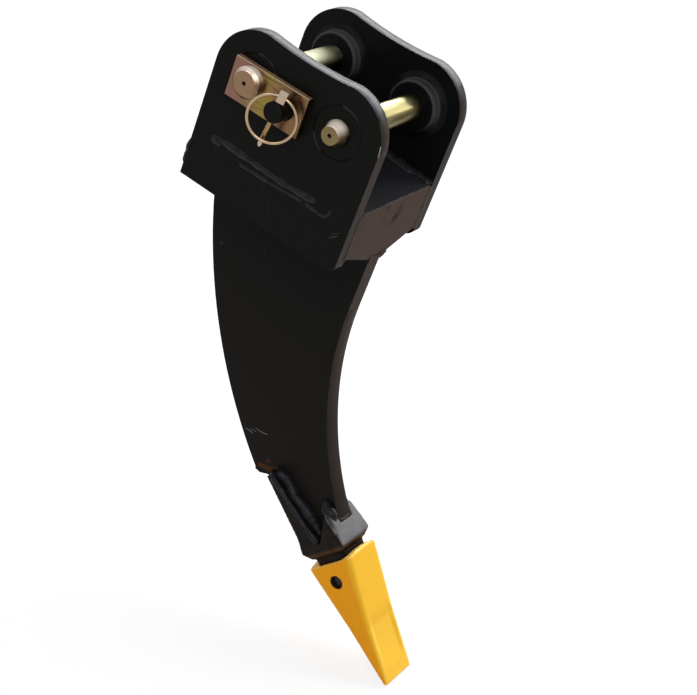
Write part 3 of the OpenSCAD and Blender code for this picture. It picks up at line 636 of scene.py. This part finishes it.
# Painted light: up-facing parts of the tooth are painted lighter yellow, its sides deeper orange.
painted_top_light, flat_top = top.rise(0.1, 0.95), top.rise(0.5, 0.85)
tone = painted_top_light.mix((0.67, 0.27, 0.003, 1), (0.72, 0.40, 0.022, 1))
tone = (place.grain(45, 5).rise(0.35, 0.75) * painted_top_light * 0.4).mix(tone, (0.76, 0.41, 0.024, 1))
down_tooth = along_tooth(place, 1, 0)
# Painted shade: a darker orange band at the crease, where the top dips into its scoop.
crease_painted_shade = down_tooth.rise(72 * mm, 87 * mm) * down_tooth.rise(92 * mm, 88 * mm) * flat_top
tone = (crease_painted_shade * 0.4).mix(tone, (0.64, 0.33, 0.014, 1))
# Painted highlight: the scoop below the crease is painted lighter.
scoop_painted_highlight = down_tooth.rise(85 * mm, 94 * mm) * flat_top
tone = (scoop_painted_highlight * 0.6).mix(tone, (0.735, 0.435, 0.042, 1))
# Painted highlight: the rim of the mouth is painted pale, in patches.
painted_rim_highlight = down_tooth.rise(2 * mm, -3 * mm)
tone = (painted_rim_highlight * place.grain(200).rise(0.3, 0.7)).mix(tone, (0.88, 0.66, 0.22, 1))
# Painted shadow: the lock pin's bore and a ring round it are painted dark brown.
bore_painted_shadow = place.stretched(1, 0, 1).near(at_tooth(23, 0, 0), 10.5).rise(0.04, 0.12)
tone = bore_painted_shadow.mix(tone, (0.022, 0.011, 0.005, 1))
pits = place.grain(420, 4)
specks = place.grain(160, 2).rise(0.74, 0.78)
tone = (specks * 0.6).mix(tone, (0.30, 0.13, 0.01, 1))
feed(yellow_paint, Base_Color=tone, Roughness=pits * 0.2 + 0.3, Normal=(pits - specks).bump(0.25 * mm))
as_cast("tooth", yellow_paint, grain=1.3, rounds=16)

# Tooth lock
# A grooved steel pin through the tooth and the nose, held by a split spring ring that sits in a
# pocket of the nose. Both are oiled black.
bare_steel, place = finish_of("bare_steel", {"Metallic": 1.0})
feed(bare_steel, Base_Color=place.grain(200).mix((0.035, 0.03, 0.026, 1), (0.07, 0.06, 0.05, 1)),
     Roughness=place.grain(300) * 0.2 + 0.4)
dress("tooth_lock_pin", bare_steel, edge=0.6)
dress("tooth_retainer", bare_steel)

# Pins
# Turned steel pins plated in yellow zinc, pale between the ears, darker beside the bosses and pink where
# the plating is thin at the ends, with painted shade and highlights. The arm pin is scuffed beside the far boss.
yellow_zinc, place = finish_of("yellow_zinc", {})
tips = abs(place.axis("Y")).rise(84 * mm, 98 * mm)
upward = facing(place).axis("Z").rise(0.2, 0.9)
tint = place.stretched(1, 0.12, 1).grain(130, 4).rise(0.3, 0.7)
pale = tint.mix((0.36, 0.32, 0.13, 1), (0.54, 0.52, 0.30, 1))
# Painted shade: the pins' forward-facing sides are painted darker.
front_painted_shade = facing(place).axis("X").rise(0.3, 0.75) * (tint * 0.5 + 0.5)
pale = front_painted_shade.mix(pale, (0.08, 0.06, 0.02, 1))
link_side = place.axis("X").rise(-40 * mm, -80 * mm)
# A painted highlight: the link pin's up-facing side is painted paler.
pale = (upward * link_side).mix(pale, (0.74, 0.74, 0.50, 1))
# Darker towards the bosses.
darker_by_bosses = abs(place.axis("Y")).rise(28 * mm, 52 * mm) * (1 - tips) * (tint * 0.3 + 0.7)
pale = darker_by_bosses.mix(pale, (0.035, 0.030, 0.012, 1))
thin = link_side.mix((0.17, 0.125, 0.055, 1), (0.25, 0.14, 0.085, 1))
# The ends are pink, and their up-facing parts are painted paler as a painted highlight.
pink = upward.mix((place.grain(120, 3) * 0.5).mix(thin, (0.26, 0.20, 0.11, 1)), (0.86, 0.74, 0.65, 1))
scuffs = place.stretched(1, 3, 1).grain(110, 4).rise(0.45, 0.62) * place.near((9, 60, 4), 30).rise(0, 0.4)
tone = (scuffs * 0.8).mix(tips.mix(pale, pink), (0.13, 0.10, 0.045, 1))
# Painted shade: the centre drills in the pins' ends are painted dark.
drill_painted_shade = place.near_pins(4).rise(0.25, 0.4) * tips
hazy = upward * (tips * 0.8).most((1 - tips) * link_side * 0.6)
feed(yellow_zinc, Base_Color=drill_painted_shade.mix(tone, (0.03, 0.02, 0.01, 1)), Metallic=1 - hazy,
     Roughness=scuffs * 0.1 + place.grain(300) * 0.06 + 0.27)
for pin in ("link_pin", "arm_pin"):
    dress(pin, yellow_zinc, edge=0.4)

# Pin flags
# A plate welded on each pin's end and plated with it. The zinc shows pink, olive and orange as
# its thickness changes over the plate.
gold_zinc, place = finish_of("gold_zinc", {})
film = place.axis("X").rise(-145 * mm, -35 * mm) * 0.5 + place.stretched(1, 1, 1.5).grain(26, 3) * 0.5
tone = film.node("ShaderNodeValToRGB", {"stops": [
    (0.12, (0.23, 0.125, 0.095, 1)), (0.38, (0.21, 0.115, 0.075, 1)), (0.47, (0.25, 0.18, 0.042, 1)),
    (0.56, (0.23, 0.13, 0.065, 1)), (0.80, (0.21, 0.12, 0.055, 1))]}, {0: film})
upward = facing(place).axis("Z").rise(0.4, 0.9)
# A painted highlight along the outer edge of each flag's up-facing top.
painted_rim_highlight = upward * abs(place.axis("Y")).rise(95.5 * mm, 98 * mm)
feed(gold_zinc, Base_Color=painted_rim_highlight.mix(tone, (0.52, 0.47, 0.34, 1)), Metallic=1 - upward * 0.7,
     Roughness=place.grain(300) * 0.1 + upward * 0.2 + 0.26)
for flag in ("link_pin_flag", "arm_pin_flag"):
    dress(flag, gold_zinc, edge=0.6)

# Locking posts
# A round post welded on each ear passes through the flag and keeps the pin from turning. Painted
# black with the ears.
for post in ("link_lock_post", "arm_lock_post"):
    dress(post, black_paint, edge=0.6)

# Linch pins
# A forged pin with a square head through each post, plated with the flags: pale on the head and
# golden on its shaft.
linch_zinc, place = finish_of("linch_zinc", {})
shaft = place.axis("Z").rise(6 * mm, 0) * place.axis("Z").rise(-46 * mm, -36 * mm)
tone = (shaft * 0.9).mix((0.50, 0.36, 0.28, 1), (0.30, 0.16, 0.035, 1))
upward = facing(place).axis("Z").rise(0.4, 0.9)
# Up-facing parts are painted paler as a painted highlight.
tone = upward.mix((place.grain(80, 3) * 0.5).mix(tone, (0.44, 0.32, 0.20, 1)), (0.88, 0.72, 0.58, 1))
feed(linch_zinc, Base_Color=tone, Metallic=1 - upward * 0.8, Roughness=place.grain(300) * 0.1 + 0.26)
for linch in ("link_linch_pin", "arm_linch_pin"):
    dress(linch, linch_zinc, edge=0.5)

# Linch rings
# Rings of spring wire that swing in the heads of the linch pins and snap over their ends. They are
# plated with the pins.
spring_steel, place = finish_of("spring_steel", {"Metallic": 1.0})
feed(spring_steel, Base_Color=place.grain(60, 3).mix((0.44, 0.34, 0.19, 1), (0.42, 0.28, 0.20, 1)),
     Roughness=place.grain(60, 2) * 0.08 + 0.2)
ring_r, wire_r, mouth_half, end_x = 26.5, 1.75, 5.5, 0.6
turn_steps, wire_sides = 120, 16
ring_turn = (Matrix.Rotation(math.radians(7), 3, "Y") @ Matrix.Rotation(math.radians(22), 3, "Z")
             @ Matrix.Rotation(math.radians(-5.58), 3, "X"))
mouth = math.asin(mouth_half / ring_r)
turns = [mouth + (2 * math.pi - 2 * mouth) * k / turn_steps for k in range(turn_steps + 1)]
wire = [(ring_r * math.sin(turn), ring_r * (math.cos(turn) - 1)) for turn in turns]
wire = [(end_x, 0.0)] + wire + [(-end_x, 0.0)]
for ring, hinge, half_turn in (("link", (-61.745, -112.3, 12.362), 1), ("arm", (-50.255, 112.3, 12.362), -1)):
    coil = bmesh.new()
    rows = []
    for k, (x, z) in enumerate(wire):
        before, after = wire[max(0, k - 1)], wire[min(len(wire) - 1, k + 1)]
        run = Vector((after[0] - before[0], 0, after[1] - before[1])).normalized()
        outward, sideways = Vector((run.z, 0, -run.x)), Vector((0, 1, 0))
        row = []
        for step in range(wire_sides):
            turn = 2 * math.pi * step / wire_sides
            spot = Vector((x, 0, z)) + wire_r * (math.cos(turn) * outward + math.sin(turn) * sideways)
            spot = ring_turn @ spot
            spot = Vector((spot.x * half_turn, spot.y * half_turn, spot.z)) + Vector(hinge)
            row.append(coil.verts.new(spot * mm))
        rows.append(row)
    for here, there in zip(rows, rows[1:]):
        for j in range(wire_sides):
            coil.faces.new((here[j], here[j - 1], there[j - 1], there[j]))
    coil.faces.new(rows[0])
    coil.faces.new(rows[-1])
    add_piece(ring + "_ring_wire", coil, spring_steel, "spring_steel", ring + "_linch_ring", body=ring + "_ring")

# Studio
# A pale floor under the tooth's tip, which fades to a white backdrop, a wide soft light above and
# behind the ears, a large soft light in front and a weak one beside it.
floor_z, floor_half = cad_box[0].z - 1 * mm, 8
floor_mesh = bpy.data.meshes.new("floor")
corners = [(x * floor_half, y * floor_half, floor_z) for x, y in ((-1, -1), (1, -1), (1, 1), (-1, 1))]
floor_mesh.from_pydata(corners, [], [(0, 1, 2, 3)])
floor = bpy.data.objects.new("floor", floor_mesh)
bpy.context.scene.collection.objects.link(floor)


def seen(place):
    """1 for the rays that show the background: the camera's own, mirrored and passed on ones."""
    kinds = [place.node("ShaderNodeLightPath", {}, {}, kind)
             for kind in ("Is Camera Ray", "Is Glossy Ray", "Is Transmission Ray")]
    return kinds[0].most(kinds[1]).most(kinds[2])


pale_floor, place = finish_of("pale_floor", {"Base Color": (0.86, 0.86, 0.86, 1), "Roughness": 0.9,
                                             "Specular IOR Level": 0.0})
tree = pale_floor.node_tree
matt = Socket(tree, tree.nodes["Principled BSDF"].outputs[0])
white = place.node("ShaderNodeEmission", {}, {"Color": (1, 1, 1, 1)})
reach = place.node("ShaderNodeVectorMath", {"operation": "LENGTH"}, {0: place}, "Value")
fade = seen(place) * (reach.rise(0.8, 2.0) * 0.2 + 0.8)
shown = place.node("ShaderNodeMixShader", {}, {0: fade, 1: matt, 2: white})
tree.links.new(shown.socket, tree.nodes["Material Output"].inputs["Surface"])
floor_mesh.materials.append(pale_floor)

world = bpy.data.worlds.new("studio")
bpy.context.scene.world = world
world.use_nodes = True
sky = Socket(world.node_tree, None).node("ShaderNodeTexCoord", {}, {}, "Generated")
level = seen(sky) * (0.6 - sky.axis("Z").rise(0.1, 0.8) * 0.45) + 0.4
backdrop = world.node_tree.nodes["Background"]
backdrop.inputs["Color"].default_value = (1, 1, 1, 1)
world.node_tree.links.new(level.socket, backdrop.inputs["Strength"])


def softbox(name, place, target, width, height, watts):
    """A large soft lamp that faces a target."""
    lamp = bpy.data.lights.new(name, "AREA")
    lamp.shape = "RECTANGLE"
    lamp.size, lamp.size_y, lamp.energy = width, height, watts
    box = bpy.data.objects.new(name, lamp)
    box.location = place
    box.rotation_euler = (Vector(target) - Vector(place)).to_track_quat("-Z", "Y").to_euler()
    bpy.context.scene.collection.objects.link(box)


softbox("back_light", (-0.1, 1.6, 1.0), (0, 0, -0.1), width=2.9, height=0.75, watts=94)
softbox("front_light", (0.8, -1.5, 1.5), (0, 0, -0.3), width=1.4, height=1.4, watts=20)
softbox("side_light", (-0.9, -1.5, 1.4), (0, 0, -0.3), width=1.0, height=1.0, watts=8)

camera_data = bpy.data.cameras.new("camera")
camera_data.lens = 82.0328
camera_data.sensor_width = 36
camera = bpy.data.objects.new("camera", camera_data)
right = Vector((0.777258, 0.539214, 0.32422))
down = Vector((0.537839, -0.30201, -0.787095))
ahead = Vector((-0.326495, 0.786154, -0.52475))
turned = Matrix((right, -down, -ahead)).transposed().to_4x4()
camera.matrix_world = Matrix.Translation((0.65962, -1.43199, 0.68622)) @ turned
bpy.context.scene.collection.objects.link(camera)
bpy.context.scene.camera = camera
bpy.context.scene.view_settings.view_transform = "Standard"

bpy.context.view_layer.update()
